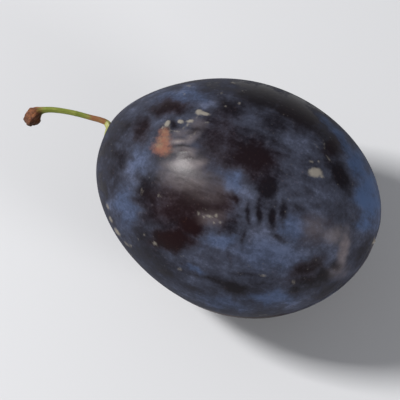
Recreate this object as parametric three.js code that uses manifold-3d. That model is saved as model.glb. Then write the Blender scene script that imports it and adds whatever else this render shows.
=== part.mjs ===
// A ripe blue plum with its stem, lying on its side on the small flat spot it rests on.
// Millimetres, +Z up. The origin is the centre of that flat spot, and the long axis of the
// fruit runs along X, with the stem end at -X and the blossom end at +X.
import * as THREE from "three";
import { mergeVertices } from "three/addons/utils/BufferGeometryUtils.js";
import Module from "manifold-3d";

// Main sizes of the fruit
const HALF_LENGTH = 28.45; // centre to each end, before the stem cavity sinks one of them
const HALF_WIDTH = 22.45; // suture side to back
const HALF_THICKNESS = 21.65; // cheek to cheek
const SHOULDER_TAPER = 0.068; // how much slimmer the stem half is than the blossom half
const END_TAPER = -0.047; // how much both ends draw in past a plain ellipse
const BEND = 1.4; // how far both ends lean away from the suture side
const SUTURE_BELOW_HORIZONTAL = THREE.MathUtils.degToRad(20); // the suture faces -Y, a little down
const REST_FLAT_DEPTH = 0.35; // how much the flesh is flattened where the fruit rests

// Stem cavity and the socket at its floor, where the stem goes into the flesh
const CAVITY = { depth: 3.1, reach: 2.4 };
const SHOULDER_DIP = { depth: 0.4, reach: 5.0 };
const SOCKET = { radius: 1.05, depth: 2.2, sides: 24 };

// Suture: the crease that runs from the cavity to the blossom end
const SUTURE_CREASE = { depth: 0.55, reach: 1.1 };
const SUTURE_VALLEY = { depth: 0.35, reach: 4.5 };
const SUTURE_NOTCH = { depth: 0.75, reach: 0.42 }; // deeper at the rim of the cavity, reach in radians
const SUTURE_FADE = { share: 0.55, from: 1.2, to: 3.0 }; // shallower towards the blossom end
const SUTURE_CLEARANCE = { none: 0.6, full: 3.2 }; // distances from the axis where it starts

// Blossom end: a shallow dimple with the scar of the style as a small point in it
const BLOSSOM_DIMPLE = { depth: 0.5, reach: 2.4 };
const STYLE_POINT = { height: 0.45, reach: 0.55 };

// Slow unevenness of the flesh: [height, waves round, waves along, phase round, phase along]
const SWELLS = [
  [0.21, 1, 2, 4.71, 5.05],
  [0.16, 1, 3, 4.71, 3.98],
  [0.3, 1, 2, 0.0, 5.59],
  [0.23, 2, 2, 1.57, 5.59],
  [0.24, 2, 1, 3.46, 0.3],
  [0.11, 3, 2, 2.94, 0.8],
  [0.12, 4, 3, 0.7, 2.2],
  [0.09, 5, 4, 1.3, 0.5],
];

// Stem
const STEM_RADIUS = 0.6;
const STEM_FOOT_RADIUS = 0.74;
const STEM_SIDES = 14;
const SOCKET_CLEARANCE = 0.3;

const smoothstep = THREE.MathUtils.smoothstep;
const bump = (distance, reach) => Math.exp(-((distance / reach) ** 2));

// Directions across the fruit: towards the suture, and towards the lower cheek
const TO_SUTURE = new THREE.Vector3(
  0,
  -Math.cos(SUTURE_BELOW_HORIZONTAL),
  -Math.sin(SUTURE_BELOW_HORIZONTAL),
);
const TO_CHEEK = new THREE.Vector3(
  0,
  Math.sin(SUTURE_BELOW_HORIZONTAL),
  -Math.cos(SUTURE_BELOW_HORIZONTAL),
);

// Height of the skin over the plain oval. along is 0 at the stem end and pi at the blossom end,
// around is 0 on the suture, radius is the distance from the axis in millimetres.
function relief(along, around, radius) {
  const belly = Math.sin(along) ** 2;
  let height = 0;
  for (const [size, round, length, phaseRound, phaseAlong] of SWELLS)
    height +=
      size *
      belly *
      Math.sin(round * around + phaseRound) *
      Math.sin(length * along + phaseAlong);
  const fromSuture = radius * Math.atan2(Math.sin(around), Math.cos(around));
  const clearOfPole = smoothstep(radius, SUTURE_CLEARANCE.none, SUTURE_CLEARANCE.full);
  const fade = 1 - SUTURE_FADE.share * smoothstep(along, SUTURE_FADE.from, SUTURE_FADE.to);
  const notch = SUTURE_NOTCH.depth * bump(along, SUTURE_NOTCH.reach);
  const crease = SUTURE_CREASE.depth * fade + notch;
  height -= clearOfPole * crease * bump(fromSuture, SUTURE_CREASE.reach);
  height -= clearOfPole * SUTURE_VALLEY.depth * fade * bump(fromSuture, SUTURE_VALLEY.reach);
  return height;
}

// How far the surface sinks into the fruit along its axis, at each end
function stemEndSink(radius) {
  return (
    CAVITY.depth * bump(radius, CAVITY.reach) + SHOULDER_DIP.depth * bump(radius, SHOULDER_DIP.reach)
  );
}

function blossomEndSink(radius) {
  return (
    BLOSSOM_DIMPLE.depth * bump(radius, BLOSSOM_DIMPLE.reach) -
    STYLE_POINT.height * bump(radius, STYLE_POINT.reach)
  );
}

// A point of the skin, measured from the middle of the fruit's axis
function skinPoint(along, around) {
  const station = -Math.cos(along);
  const profile =
    Math.sin(along) * (1 + SHOULDER_TAPER * station + END_TAPER * station * station);
  const width = HALF_WIDTH * profile * Math.cos(around);
  const thickness = HALF_THICKNESS * profile * Math.sin(around);
  const radius = Math.hypot(width, thickness);
  const raise = relief(along, around, radius);
  const outward = new THREE.Vector3(station / HALF_LENGTH, 0, 0)
    .addScaledVector(TO_SUTURE, width / HALF_WIDTH ** 2)
    .addScaledVector(TO_CHEEK, thickness / HALF_THICKNESS ** 2)
    .normalize();
  const sink = station < 0 ? stemEndSink(radius) : -blossomEndSink(radius);
  return new THREE.Vector3(HALF_LENGTH * station + sink, 0, 0)
    .addScaledVector(TO_SUTURE, width - BEND * station * station)
    .addScaledVector(TO_CHEEK, thickness)
    .addScaledVector(outward, raise);
}

// A closed surface over a grid of rows and columns: single points at both ends, and the
// columns run all the way round. pointAt takes the row and the column as shares of 0 to 1.
function closedSurface(rows, columns, pointAt) {
  const positions = [];
  const faces = [];
  for (let row = 0; row <= rows; row++) {
    const count = row === 0 || row === rows ? 1 : columns;
    for (let column = 0; column < count; column++)
      positions.push(...pointAt(row / rows, column / columns).toArray());
  }
  const last = 1 + (rows - 1) * columns;
  const index = (row, column) => 1 + (row - 1) * columns + (column % columns);
  for (let column = 0; column < columns; column++) {
    faces.push(0, index(1, column + 1), index(1, column));
    faces.push(last, index(rows - 1, column), index(rows - 1, column + 1));
    for (let row = 1; row < rows - 1; row++) {
      const [a, b] = [index(row, column), index(row, column + 1)];
      const [c, d] = [index(row + 1, column), index(row + 1, column + 1)];
      faces.push(a, b, d, a, d, c);
    }
  }
  const geometry = new THREE.BufferGeometry();
  geometry.setAttribute("position", new THREE.Float32BufferAttribute(positions, 3));
  geometry.setIndex(faces);
  return geometry;
}

// Solids that manifold-3d cuts
const wasm = await Module();
wasm.setup();

function solidOf(geometry) {
  const bare = geometry.clone();
  bare.deleteAttribute("normal");
  bare.deleteAttribute("uv");
  const merged = mergeVertices(bare);
  return new wasm.Manifold(
    new wasm.Mesh({
      numProp: 3,
      vertProperties: merged.attributes.position.array,
      triVerts: new Uint32Array(merged.index.array),
    }),
  );
}

function geometryOf(solid) {
  const mesh = solid.getMesh();
  const geometry = new THREE.BufferGeometry();
  geometry.setAttribute("position", new THREE.Float32BufferAttribute(mesh.vertProperties, 3));
  geometry.setIndex(new THREE.Uint32BufferAttribute(mesh.triVerts, 1));
  geometry.computeVertexNormals();
  return geometry;
}

// Fruit: rows crowd towards both ends, and columns towards the suture
const FRUIT_ROWS = 56;
const FRUIT_COLUMNS = 62;
const END_CROWDING = 0.11;
const SUTURE_CROWDING = 0.6;

const alongOf = (share) => Math.PI * (share - END_CROWDING * Math.sin(2 * Math.PI * share));
const aroundOf = (share) => {
  const turn = 2 * Math.PI * share;
  return turn - SUTURE_CROWDING * Math.sin(turn);
};

// Lowest point of the skin, where the fruit comes to rest
const SEARCH = { from: 1, to: 2.2, step: 0.01 }; // radians, over the belly of the fruit

function lowestPoint() {
  const lowest = new THREE.Vector3(0, 0, Infinity);
  for (let along = SEARCH.from; along < SEARCH.to; along += SEARCH.step)
    for (let around = 0; around < 2 * Math.PI; around += SEARCH.step) {
      const point = skinPoint(along, around);
      if (point.z < lowest.z) lowest.copy(point);
    }
  return lowest;
}

const lowest = lowestPoint();
const AXIS_MIDDLE = new THREE.Vector3(-lowest.x, -lowest.y, -lowest.z - REST_FLAT_DEPTH);
const cavityFloor = skinPoint(0, 0).add(AXIS_MIDDLE);

function makeFruit() {
  const skin = closedSurface(FRUIT_ROWS, FRUIT_COLUMNS, (row, column) =>
    skinPoint(alongOf(row), aroundOf(column)).add(AXIS_MIDDLE),
  );
  const wide = 2 * HALF_LENGTH;
  const belowRest = new THREE.BoxGeometry(wide, wide, HALF_THICKNESS).translate(
    0,
    0,
    -HALF_THICKNESS / 2,
  );
  const socketLength = 2 * SOCKET.depth;
  const socket = new THREE.CylinderGeometry(SOCKET.radius, SOCKET.radius, socketLength, SOCKET.sides)
    .rotateZ(Math.PI / 2)
    .translate(cavityFloor.x, cavityFloor.y, cavityFloor.z);
  const body = solidOf(skin).subtract(solidOf(belowRest)).subtract(solidOf(socket));
  const mesh = new THREE.Mesh(
    geometryOf(body),
    new THREE.MeshStandardMaterial({ color: 0x353a4c, roughness: 0.5, metalness: 0 }),
  );
  mesh.name = "fruit";
  return mesh;
}

// Stem: its route, measured from the floor of the cavity. It stands straight in the socket,
// leans over the rim of the cavity, runs on along the axis and hooks over at its woody end.
const STEM_ROUTE = [
  [SOCKET.depth - SOCKET_CLEARANCE, 0, 0],
  [0, 0, 0],
  [-1.7, 0.2, -0.1],
  [-2.95, 1.85, -0.75],
  [-3.5, 3.85, -1.2],
  [-4.2, 4.72, -1.4],
  [-5.35, 4.82, -1.25],
  [-7.8, 4.45, -0.95],
  [-10.8, 3.95, -0.5],
  [-13.7, 3.3, -0.3],
  [-15.75, 2.65, -0.3],
  [-17.15, 1.9, -0.5],
  [-17.95, 1.0, -0.9],
  [-18.3, 0.25, -1.6],
  [-18.4, -0.25, -2.35],
];

// Radius of the stem against the share of its length: [share, radius]. The last rows turn
// back into the broken end, which is a shallow hollow.
const STEM_PROFILE = [
  [0.0, STEM_FOOT_RADIUS * 0.8],
  [0.03, STEM_FOOT_RADIUS],
  [0.12, STEM_FOOT_RADIUS],
  [0.2, STEM_RADIUS * 1.05],
  [0.3, STEM_RADIUS * 1.0],
  [0.4, STEM_RADIUS * 0.95],
  [0.5, STEM_RADIUS * 0.87],
  [0.62, STEM_RADIUS * 0.85],
  [0.74, STEM_RADIUS * 0.88],
  [0.82, STEM_RADIUS * 0.95],
  [0.86, STEM_RADIUS * 1.17],
  [0.89, STEM_RADIUS * 1.7],
  [0.92, STEM_RADIUS * 2.3],
  [0.95, STEM_RADIUS * 2.6],
  [0.975, STEM_RADIUS * 2.6],
  [0.993, STEM_RADIUS * 2.35],
  [1.0, STEM_RADIUS * 1.95],
  [0.985, STEM_RADIUS * 1.3],
  [0.965, STEM_RADIUS * 0.6],
];
// The woody end is lumpy: [share of the radius, lumps round it, phase]
const STUB = { from: 0.85, to: 0.93, twist: 9 };
const STUB_LUMPS = [
  [0.13, 3, 0.8],
  [0.08, 5, 2.2],
];
const HOLLOW_FLOOR = 0.003; // how far the middle of the hollow lies below its last row
const ROWS_BETWEEN = 3; // rows of the surface for each step of the profile
const FRAME_STEPS = 400;

function makeStem() {
  const route = new THREE.CatmullRomCurve3(
    STEM_ROUTE.map((point) => new THREE.Vector3(...point).add(cavityFloor)),
    false,
    "centripetal",
  );
  const frames = route.computeFrenetFrames(FRAME_STEPS, false);
  const steps = (STEM_PROFILE.length - 1) * ROWS_BETWEEN;
  const profile = new THREE.SplineCurve(STEM_PROFILE.map((pair) => new THREE.Vector2(...pair)));
  const pointAt = (row, column) => {
    if (row === 0) return route.getPointAt(0);
    const end = STEM_PROFILE[STEM_PROFILE.length - 1][0];
    if (row === 1) return route.getPointAt(end - HOLLOW_FLOOR);
    const { x: share, y: radius } = profile.getPoint((row * steps - 1) / (steps - 2));
    const place = THREE.MathUtils.clamp(share, 0, 1);
    const step = Math.round(place * FRAME_STEPS);
    const turn = 2 * Math.PI * column;
    const woody = smoothstep(place, STUB.from, STUB.to);
    let swell = 1;
    for (const [size, waves, phase] of STUB_LUMPS)
      swell += woody * size * Math.sin(waves * turn + phase + STUB.twist * place);
    return route
      .getPointAt(place)
      .addScaledVector(frames.normals[step], radius * swell * Math.cos(turn))
      .addScaledVector(frames.binormals[step], radius * swell * Math.sin(turn));
  };
  const surface = closedSurface(steps, STEM_SIDES, pointAt);
  const mesh = new THREE.Mesh(
    surface,
    new THREE.MeshStandardMaterial({ color: 0x8e9a48, roughness: 0.55, metalness: 0 }),
  );
  mesh.name = "stem";
  return mesh;
}

const plum = new THREE.Group();
plum.add(makeFruit());
plum.add(makeStem());

export default plum;
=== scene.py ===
import math

import bpy
import numpy as np
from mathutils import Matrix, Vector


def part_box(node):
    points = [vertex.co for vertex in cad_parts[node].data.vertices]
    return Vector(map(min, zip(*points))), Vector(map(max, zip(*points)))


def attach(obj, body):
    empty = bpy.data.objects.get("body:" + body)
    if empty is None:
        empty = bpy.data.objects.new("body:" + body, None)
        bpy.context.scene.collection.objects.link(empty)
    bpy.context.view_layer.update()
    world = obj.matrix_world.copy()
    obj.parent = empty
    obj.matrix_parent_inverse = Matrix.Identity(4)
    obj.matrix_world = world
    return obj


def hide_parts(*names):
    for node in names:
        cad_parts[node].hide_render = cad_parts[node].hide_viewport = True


# A ripe blue plum with its stem, lying on its side on a pale floor. Metres, +Z up. The long
# axis of the fruit runs along X, with the stem end at -X and the blossom end at +X, and the
# suture is on the -Y side. Lengths in the named values of the fruit, the stem and the view
# are millimetres.

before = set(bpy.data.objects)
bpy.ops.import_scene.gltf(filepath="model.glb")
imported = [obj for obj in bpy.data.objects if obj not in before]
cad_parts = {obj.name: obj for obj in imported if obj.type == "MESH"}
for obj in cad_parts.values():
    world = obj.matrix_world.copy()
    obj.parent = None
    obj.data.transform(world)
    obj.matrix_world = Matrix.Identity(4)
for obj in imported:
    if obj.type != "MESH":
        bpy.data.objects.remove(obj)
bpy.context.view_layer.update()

MM = 0.001  # in metres

# Form of the fruit
HALF_LENGTH = 28.45  # centre to each end, before the stem cavity sinks one of them
HALF_WIDTH = 22.45  # suture side to back
HALF_THICKNESS = 21.65  # cheek to cheek
SHOULDER_TAPER = 0.068  # how much slimmer the stem half is than the blossom half
END_TAPER = -0.047  # how much both ends draw in past a plain ellipse
BEND = 1.4  # how far both ends lean away from the suture side
SUTURE_BELOW_HORIZONTAL = math.radians(20)
CAVITY = {"depth": 3.1, "reach": 2.4}
SHOULDER_DIP = {"depth": 0.4, "reach": 5.0}
SUTURE_CREASE = {"depth": 0.55, "reach": 1.1}
SUTURE_VALLEY = {"depth": 0.35, "reach": 4.5}
SUTURE_NOTCH = {"depth": 0.75, "reach": 0.42}  # at the rim of the cavity, reach in radians
SUTURE_FADE = {"share": 0.55, "from": 1.2, "to": 3.0}  # towards the blossom end, radians
SUTURE_CLEARANCE = {"none": 0.6, "full": 3.2}  # distances from the axis where it starts
BLOSSOM_DIMPLE = {"depth": 0.5, "reach": 2.4}
STYLE_POINT = {"height": 0.45, "reach": 0.55}  # the scar of the style, in the dimple
SEAT = {"depth": 1.6, "reach": 0.8}  # the skin turns in here and closes round the stem's foot

# Slow unevenness of the flesh: height, waves round, waves along, phase round, phase along
SWELLS = (
    (0.21, 1, 2, 4.71, 5.05),
    (0.16, 1, 3, 4.71, 3.98),
    (0.3, 1, 2, 0.0, 5.59),
    (0.23, 2, 2, 1.57, 5.59),
    (0.24, 2, 1, 3.46, 0.3),
    (0.11, 3, 2, 2.94, 0.8),
    (0.12, 4, 3, 0.7, 2.2),
    (0.09, 5, 4, 1.3, 0.5),
)

# Directions across and along the fruit
SUTURE_COS, SUTURE_SIN = math.cos(SUTURE_BELOW_HORIZONTAL), math.sin(SUTURE_BELOW_HORIZONTAL)
TO_SUTURE = np.array([0.0, -SUTURE_COS, -SUTURE_SIN])
TO_CHEEK = np.array([0.0, SUTURE_SIN, -SUTURE_COS])
TO_BLOSSOM = np.array([1.0, 0.0, 0.0])

# Grid of the skin. Rows crowd towards both ends, and columns towards the side that carries
# the fine marks.
SKIN_ROWS = 262
SKIN_COLUMNS = 376
END_CROWDING = 0.1
SIDE_CROWDING = 0.45
MARKED_SIDE = math.radians(250)  # measured round the fruit from the suture

# The photograph: direction, distance and scale of the view, a point in the fruit, the pixel
# where it shows, and the square window that the camera frames
VIEW_AZIMUTH = math.radians(22)
VIEW_ELEVATION = math.radians(65)
VIEW_DISTANCE = 600.0
MM_PER_PIXEL = 0.481
AIM = np.array([0.0, 0.0, 22.0])
AIM_PIXEL = (127.7, 119.7)
WINDOW_CENTRE = (110.0, 120.0)
WINDOW_PIXELS = 160.0

BACK = np.array(
    [
        math.sin(VIEW_AZIMUTH) * math.cos(VIEW_ELEVATION),
        -math.cos(VIEW_AZIMUTH) * math.cos(VIEW_ELEVATION),
        math.sin(VIEW_ELEVATION),
    ]
)
RIGHT = np.array([math.cos(VIEW_AZIMUTH), math.sin(VIEW_AZIMUTH), 0.0])
UP = np.cross(BACK, RIGHT)


def smoothstep(value, low, high):
    """0 below low, 1 above high, and 3t^2 - 2t^3 between them."""
    t = np.clip((value - low) / (high - low), 0.0, 1.0)
    return t * t * (3.0 - 2.0 * t)


def bump(distance, reach):
    """A bell: e to the minus (distance over reach) squared."""
    return np.exp(-((distance / reach) ** 2))


# ---- meshes ----


def grid_faces(rows, columns):
    """Faces of a closed grid whose first and last rows are single points: a fan of triangles
    at each end, and between them quads that run all the way round."""
    column = np.arange(columns)
    after = (column + 1) % columns
    first = np.stack([np.zeros(columns, int), 1 + after, 1 + column], 1)
    last_row = 1 + (rows - 2) * columns
    last_point = 1 + (rows - 1) * columns
    last = np.stack([np.full(columns, last_point), last_row + column, last_row + after], 1)
    start = 1 + np.arange(rows - 2)[:, None] * columns
    quads = np.stack(
        [start + column, start + after, start + columns + after, start + columns + column], -1
    ).reshape(-1, 4)
    return first, quads, last


def make_piece(name, points, rows, columns, attributes):
    """A smooth closed mesh from a grid of points in millimetres, with its point attributes."""
    first, quads, last = grid_faces(rows, columns)
    loops = np.concatenate([first.ravel(), quads.ravel(), last.ravel()]).astype(np.int32)
    sizes = np.concatenate([np.full(len(first), 3), np.full(len(quads), 4), np.full(len(last), 3)])
    starts = np.concatenate([[0], np.cumsum(sizes)[:-1]]).astype(np.int32)
    mesh = bpy.data.meshes.new(name)
    mesh.vertices.add(len(points))
    mesh.vertices.foreach_set("co", (points * MM).astype(np.float32).ravel())
    mesh.loops.add(len(loops))
    mesh.loops.foreach_set("vertex_index", loops)
    mesh.polygons.add(len(starts))
    mesh.polygons.foreach_set("loop_start", starts)
    mesh.polygons.foreach_set("use_smooth", np.ones(len(starts), bool))
    mesh.update(calc_edges=True)
    mesh.validate()
    for label, values in attributes.items():
        form = "FLOAT_VECTOR" if values.ndim == 2 else "FLOAT"
        field = "vector" if values.ndim == 2 else "value"
        layer = mesh.attributes.new(label, form, "POINT")
        layer.data.foreach_set(field, values.astype(np.float32).ravel())
    piece = bpy.data.objects.new(name, mesh)
    bpy.context.scene.collection.objects.link(piece)
    return piece


def grid_parameters(rows, columns):
    """Row and column shares from 0 to 1 for every point of a closed grid, ends included."""
    row = np.repeat(np.arange(1, rows) / rows, columns)
    column = np.tile(np.arange(columns) / columns, rows - 1)
    return np.concatenate([[0.0], row, [1.0]]), np.concatenate([[0.0], column, [0.0]])


# ---- the fruit's skin ----


def relief(along, around, radius):
    """Height over the plain oval: slow swells that die out at both ends, less the suture,
    which is a narrow crease in a broad valley, deeper at the cavity, fading to the blossom end."""
    belly = np.sin(along) ** 2
    height = np.zeros_like(along)
    for size, waves_round, waves_along, phase_round, phase_along in SWELLS:
        height += (
            size
            * belly
            * np.sin(waves_round * around + phase_round)
            * np.sin(waves_along * along + phase_along)
        )
    from_suture = radius * np.arctan2(np.sin(around), np.cos(around))
    clear = smoothstep(radius, SUTURE_CLEARANCE["none"], SUTURE_CLEARANCE["full"])
    fade = 1.0 - SUTURE_FADE["share"] * smoothstep(along, SUTURE_FADE["from"], SUTURE_FADE["to"])
    notch = SUTURE_NOTCH["depth"] * bump(along, SUTURE_NOTCH["reach"])
    crease = SUTURE_CREASE["depth"] * fade + notch
    height -= clear * crease * bump(from_suture, SUTURE_CREASE["reach"])
    height -= clear * SUTURE_VALLEY["depth"] * fade * bump(from_suture, SUTURE_VALLEY["reach"])
    return height


def skin_surface(along, around):
    """An oval with a taper and a bend, raised by the relief along its normal, and sunk along
    its axis by a cavity at the stem end and a dimple with a small point at the blossom end.
    Returns the points, the outward directions and the distances from the axis."""
    station = -np.cos(along)
    profile = np.sin(along) * (1.0 + SHOULDER_TAPER * station + END_TAPER * station**2)
    width = HALF_WIDTH * profile * np.cos(around)
    thickness = HALF_THICKNESS * profile * np.sin(around)
    radius = np.hypot(width, thickness)
    outward = (
        np.outer(station / HALF_LENGTH, TO_BLOSSOM)
        + np.outer(width / HALF_WIDTH**2, TO_SUTURE)
        + np.outer(thickness / HALF_THICKNESS**2, TO_CHEEK)
    )
    outward /= np.linalg.norm(outward, axis=1)[:, None]
    stem_sink = (
        CAVITY["depth"] * bump(radius, CAVITY["reach"])
        + SHOULDER_DIP["depth"] * bump(radius, SHOULDER_DIP["reach"])
        + SEAT["depth"] * bump(radius, SEAT["reach"])
    )
    blossom_sink = BLOSSOM_DIMPLE["depth"] * bump(radius, BLOSSOM_DIMPLE["reach"])
    blossom_sink -= STYLE_POINT["height"] * bump(radius, STYLE_POINT["reach"])
    sink = np.where(station < 0, stem_sink, -blossom_sink)
    points = (
        np.outer(HALF_LENGTH * station + sink, TO_BLOSSOM)
        + np.outer(width - BEND * station**2, TO_SUTURE)
        + np.outer(thickness, TO_CHEEK)
        + outward * relief(along, around, radius)[:, None]
    )
    return points, outward, radius


def photo_pixels(points):
    """Where points show in the photograph: a plain perspective view of them from VIEW_DISTANCE."""
    offset = points - AIM
    scale = VIEW_DISTANCE / ((VIEW_DISTANCE - offset @ BACK) * MM_PER_PIXEL)
    return AIM_PIXEL[0] + offset @ RIGHT * scale, AIM_PIXEL[1] - offset @ UP * scale


def soft_oval(distance, strength, softness):
    """Full strength inside an oval and none outside, with a smoothstep round distance 1."""
    return strength * (1.0 - smoothstep(distance, 1.0 - softness, 1.0 + softness))


def patches(across, down, marks, softness):
    """Strength of a set of soft oval patches at each place. A mark is its centre, its two
    half-lengths, its clockwise turn in degrees and its strength. The strongest one counts."""
    total = np.zeros_like(across)
    for centre_x, centre_y, half_x, half_y, turn, strength in marks:
        angle = math.radians(turn)
        x = (across - centre_x) * math.cos(angle) + (down - centre_y) * math.sin(angle)
        y = (down - centre_y) * math.cos(angle) - (across - centre_x) * math.sin(angle)
        distance = np.hypot(x / half_x, y / half_y)
        total = np.maximum(total, soft_oval(distance, strength, softness))
    return total


# Marks on the side that the photograph shows, in its pixels: centre across, centre down,
# half-length, half-width, clockwise turn in degrees, strength

# Broad places where the bloom is rubbed off, with painted shade along the left, lower-left and
# bottom rims in three rows
BARE_BROAD_AND_RIM_SHADE = (
    (130.5, 102.2, 12.5, 8.4, 12, 0.85),
    (134.5, 104.5, 6, 4.4, 0, 1.0),
    (134, 78.5, 11, 4.4, 14, 0.9),
    (149, 85, 11, 5, 35, 1.05),
    (158, 92, 4.5, 2.6, 45, 0.75),
    (122, 84, 6, 4.5, 0, 0.6),
    (117, 76, 7, 3.2, 0, 0.5),
    (140, 89, 7, 4, 25, 0.55),
    (98, 82.7, 6.8, 3.1, -18, 0.95),
    (86.3, 92, 3.8, 4.2, 0, 0.7),
    (99.4, 90, 2.0, 2.4, 0, 0.6),
    (116, 95, 6.5, 9, 0, 0.5),
    (104, 105, 9, 8, 10, 0.5),
    (104, 121, 13, 8, -5, 0.7),
    (96.5, 129.4, 5.5, 3, 0, 0.75),
    (88.5, 116, 4.6, 6.4, 0, 0.85),
    (91, 126, 4.2, 6, 0, 0.6),
    (98.5, 135.4, 7.6, 4.1, 3, 1.1),
    (105.5, 129.6, 6, 4, 0, 1.0),
    (115.5, 122, 6.5, 6, 0, 0.65),
    (121, 130.5, 4, 2.4, 0, 0.5),
    # Darker lower-left rim: partly rubbed skin, partly painted shade
    (88.5, 139, 5, 11, -35, 0.42),
    (100, 146, 6, 3, 20, 0.2),
    # Darker left rim: partly rubbed skin, partly painted shade
    (75, 102, 4.5, 12, 4, 0.55),
    (81, 91, 4, 5, 40, 0.4),
    (71.3, 115, 1.5, 8, -8, 0.5),
    (162, 157, 7, 4, -35, 0.6),
    (176, 141, 3.4, 7, 25, 0.5),
    # Darker bottom rim: partly rubbed skin, partly painted shade
    (135, 165, 16, 2.4, 0, 0.35),
)
# Small places and streaks where it is rubbed off
BARE_SMALL = (
    (136.5, 115.6, 3.8, 4.6, 0, 1.0),
    (137, 122.4, 5.0, 3.4, 0, 0.5),
    (133, 124.4, 1.1, 5.6, 0, 0.9),
    (138.2, 126.7, 1.3, 6.0, 0, 0.9),
    (142.5, 125.4, 1.5, 4.8, 0, 0.95),
    (143, 129, 1.0, 2.6, 0, 0.5),
    (128.5, 125.6, 0.9, 3.8, 0, 0.8),
    (125.3, 126.3, 0.6, 1.0, 0, 0.5),
    (126.8, 135, 0.9, 4.4, 6, 0.85),
    (123.8, 120.2, 0.9, 4.0, -20, 0.85),
    (120.6, 118.3, 1.2, 1.8, 0, 0.4),
    (148.6, 123, 3.2, 1.4, 25, 0.5),
    (147.6, 117.4, 2.6, 1.3, 0, 0.4),
    (138.7, 131.6, 0.8, 2.6, -6, 0.5),
    (140.7, 135.2, 3.6, 1.0, 42, 0.8),
    (122, 130.8, 2.6, 3.4, 0, 0.65),
    (102.3, 98.3, 3.4, 0.35, 2, 0.9),
    (99.0, 90.2, 1.2, 1.6, 0, 0.8),
    (121.2, 143.4, 0.8, 3.6, -14, 0.45),
    (163, 98.6, 4.2, 4.0, 30, 1.0),
    (159, 95, 2.6, 1.5, 30, 0.6),
    (165.8, 110, 2.6, 6.6, -28, 0.95),
    (161.6, 105, 2.2, 2.8, 0, 0.5),
    (152.5, 146.8, 7.6, 2.7, -24, 0.9),
    (148, 149.4, 4, 1.8, -20, 0.7),
    (163.5, 146.5, 2.6, 2.2, 0, 0.65),
    (153, 152.6, 6, 2.8, 0, 0.85),
    (158.6, 150.6, 4, 3, -30, 0.85),
    (147.6, 156, 4, 1.8, -20, 0.6),
    (123.4, 155.4, 6.6, 2.1, 15, 0.95),
    (117.4, 153, 2.6, 1.2, 20, 0.7),
    (132, 157, 4.6, 1.4, 5, 0.7),
    (113, 151, 7, 0.7, 8, 0.45),
    (126, 149.6, 6, 0.7, 5, 0.4),
    (108, 156, 5, 1.0, 22, 0.5),
    (91.6, 143, 3.4, 2.2, 30, 0.4),
    (96, 149, 3.6, 1.6, 32, 0.6),
    (84.4, 133, 1.2, 3.6, -10, 0.5),
    (107, 92.4, 3, 1.2, -20, 0.45),
    (152, 116, 3, 1.4, 30, 0.45),
    (156, 122.4, 2, 1.0, 10, 0.5),
)
# Thick, even bloom
FULL_BLOOM = (
    (137, 141, 15, 7, 5, 1.1),
    (146, 130.5, 4.8, 7, 0, 0.95),
    (136, 131.5, 6, 2.6, 0, 0.75),
    (122, 112, 5.6, 4, 35, 0.95),
    (127.4, 117, 3.2, 4, 0, 0.85),
    (118, 136.4, 8, 2.9, -4, 0.95),
    (146, 98.5, 6.5, 6, 10, 0.6),
    (104, 78.4, 10.5, 3.1, -8, 0.85),
    (112.4, 81.4, 5, 1.9, 0, 0.85),
    (94.4, 87.6, 5.6, 1.7, -42, 0.75),
    (85.6, 104, 4.2, 6.6, 4, 0.9),
    (80, 123, 4.2, 8.6, -6, 0.85),
    (82, 112, 3, 5, 0, 0.7),
    (125.4, 88, 6, 2.4, 5, 0.5),
    (138, 158.6, 9, 2.8, 0, 0.9),
    (119, 161, 12, 2.8, 12, 0.8),
    (146, 161.6, 9, 2.8, -8, 0.75),
    (107.2, 148, 4, 1.2, 25, 0.85),
    (105.6, 152.8, 2.6, 1.0, 40, 0.7),
    (161.6, 141, 2.8, 5, 0, 0.75),
    (152, 120, 9, 4, 32, 0.45),
    (160, 118.5, 5, 4, 20, 0.35),
    (177, 120, 4.6, 12, -7, 1.0),
    (170.5, 104, 3.4, 8, -32, 0.85),
    (75, 123, 1.6, 7, -16, 0.5),
)
# Bloom with a clear edge
CRISP_BLOOM = (
    (177.4, 119, 5.4, 12, -6, 1.0),
    (172.8, 105, 3.5, 8, -31, 1.0),
    (166.8, 95.6, 2.1, 7, -40, 1.0),
    (159.6, 88.0, 1.5, 7, -52, 0.9),
    (176, 130, 3.4, 4.4, 20, 0.8),
    (80, 123, 3.6, 8.4, -6, 0.8),
    (107.2, 148, 3.6, 1.0, 25, 0.7),
    (105.4, 152.8, 2.4, 0.8, 40, 0.6),
    (122.6, 110.8, 4.6, 1.2, 30, 0.8),
    (127.6, 114.6, 2.6, 1.0, 50, 0.8),
    (121.4, 115.2, 2.6, 0.9, 20, 0.7),
    (125, 122.6, 1.2, 2.6, 0, 0.6),
    (117.4, 135.8, 5.6, 1.7, -4, 0.8),
    (146.8, 129.2, 2.5, 4.2, 0, 0.85),
    (141.4, 132.6, 2.0, 2.0, 0, 0.7),
    (135.6, 126.6, 0.9, 2.8, 0, 0.5),
    (141.3, 118.8, 0.9, 4.0, 0, 0.6),
    (129.4, 117.6, 1.8, 2.2, 0, 0.7),
    (130.4, 127.6, 0.9, 3.0, 0, 0.6),
    (134, 137, 5, 1.2, -8, 0.6),
    (142, 146.6, 5, 1.0, -30, 0.6),
    (139, 158.8, 4.6, 1.2, 0, 0.7),
    (121, 160.6, 7, 1.0, 14, 0.6),
    (104.6, 82.6, 3.2, 0.8, -35, 0.6),
    (95.6, 86.6, 4.2, 0.9, -42, 0.7),
    (100.8, 76.6, 5, 1.2, -12, 0.6),
)
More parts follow.
